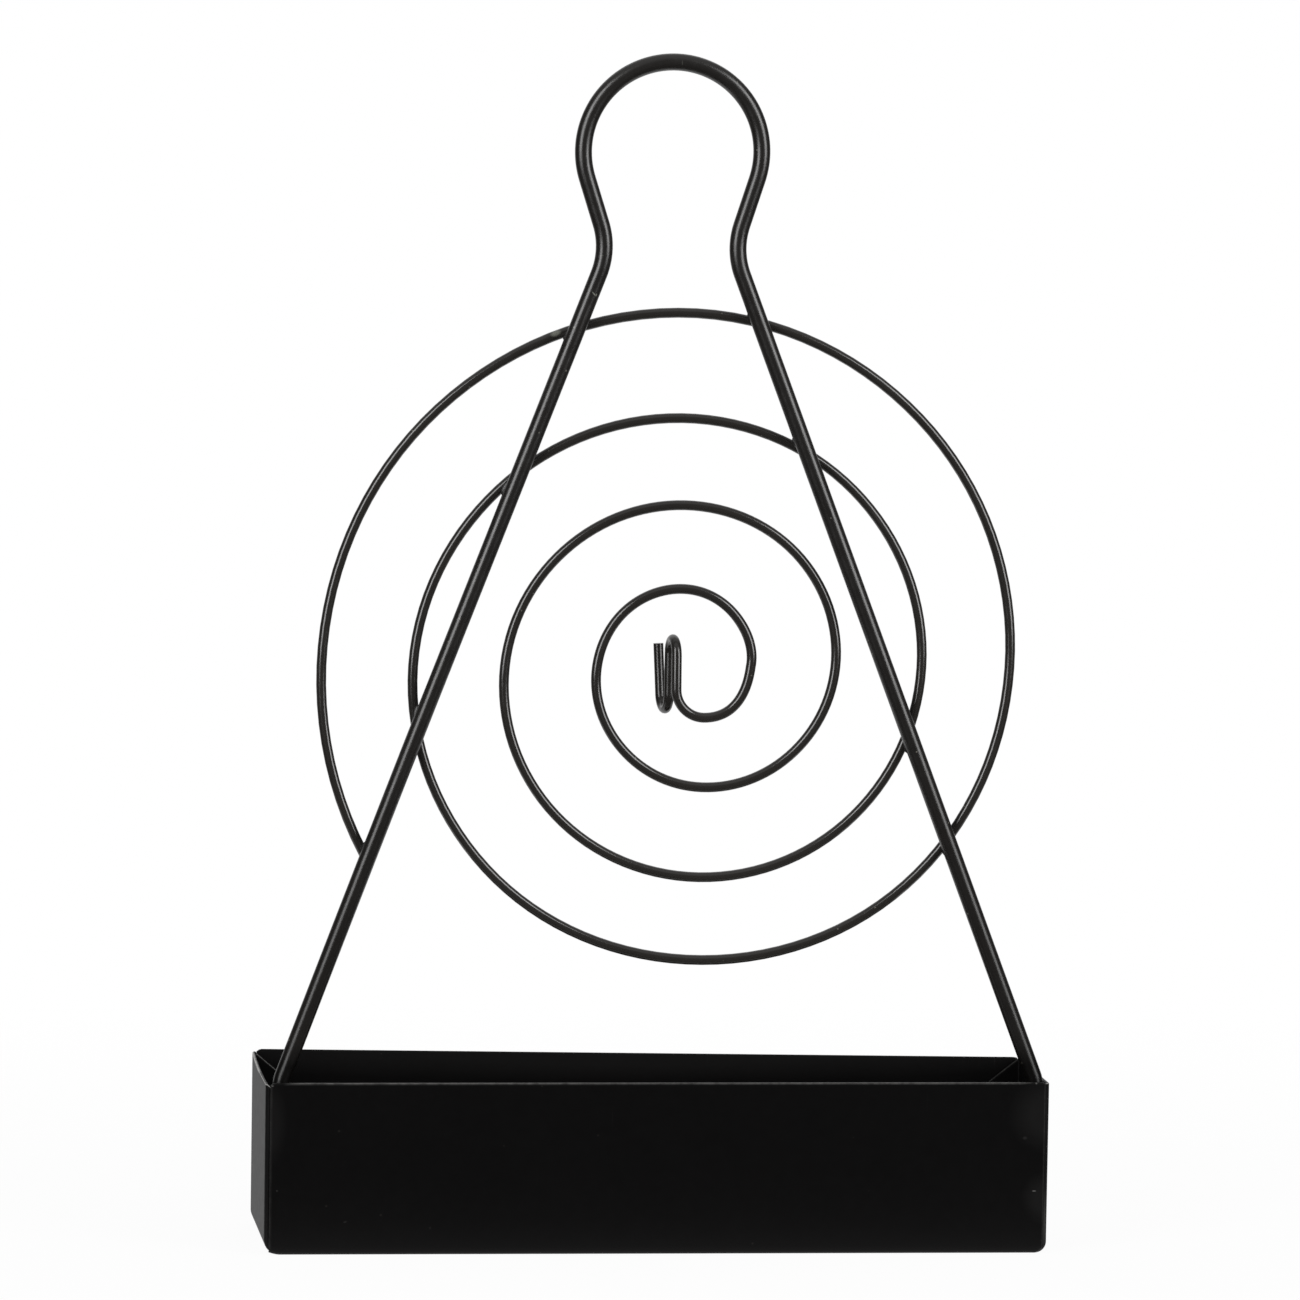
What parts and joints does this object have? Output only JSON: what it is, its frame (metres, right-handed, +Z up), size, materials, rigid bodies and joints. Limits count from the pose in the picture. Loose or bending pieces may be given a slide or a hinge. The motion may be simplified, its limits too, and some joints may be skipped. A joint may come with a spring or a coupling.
{
  "type": "mosquito coil holder",
  "caption": "Black wire and sheet-metal holder for mosquito coils: a long open ash tray, a rod frame with a keyhole loop, and a spiral wire with a clip at its middle.",
  "frame": {"origin": "middle of the underside of the tray, on the surface that it stands on", "axes": "+X along the tray towards its right end as seen from the front, +Y from the front wall to the back wall, +Z up to the loop"},
  "size_m": [0.195, 0.05, 0.2972],
  "materials": {
    "tray_paint": "satin",
    "rod_paint": "satin",
    "wire_paint": "satin",
    "weld_paint": "satin"
  },
  "bodies": {
    "root": {"tray": "tray_paint", "frame_rod": "rod_paint", "foot_weld_left": "weld_paint", "foot_weld_right": "weld_paint", "spiral_wire": "wire_paint", "cross_weld_1": "weld_paint", "cross_weld_2": "weld_paint", "cross_weld_3": "weld_paint", "cross_weld_4": "weld_paint", "cross_weld_5": "weld_paint", "cross_weld_6": "weld_paint", "cross_weld_7": "weld_paint", "cross_weld_8": "weld_paint"}
  },
  "joints": []
}
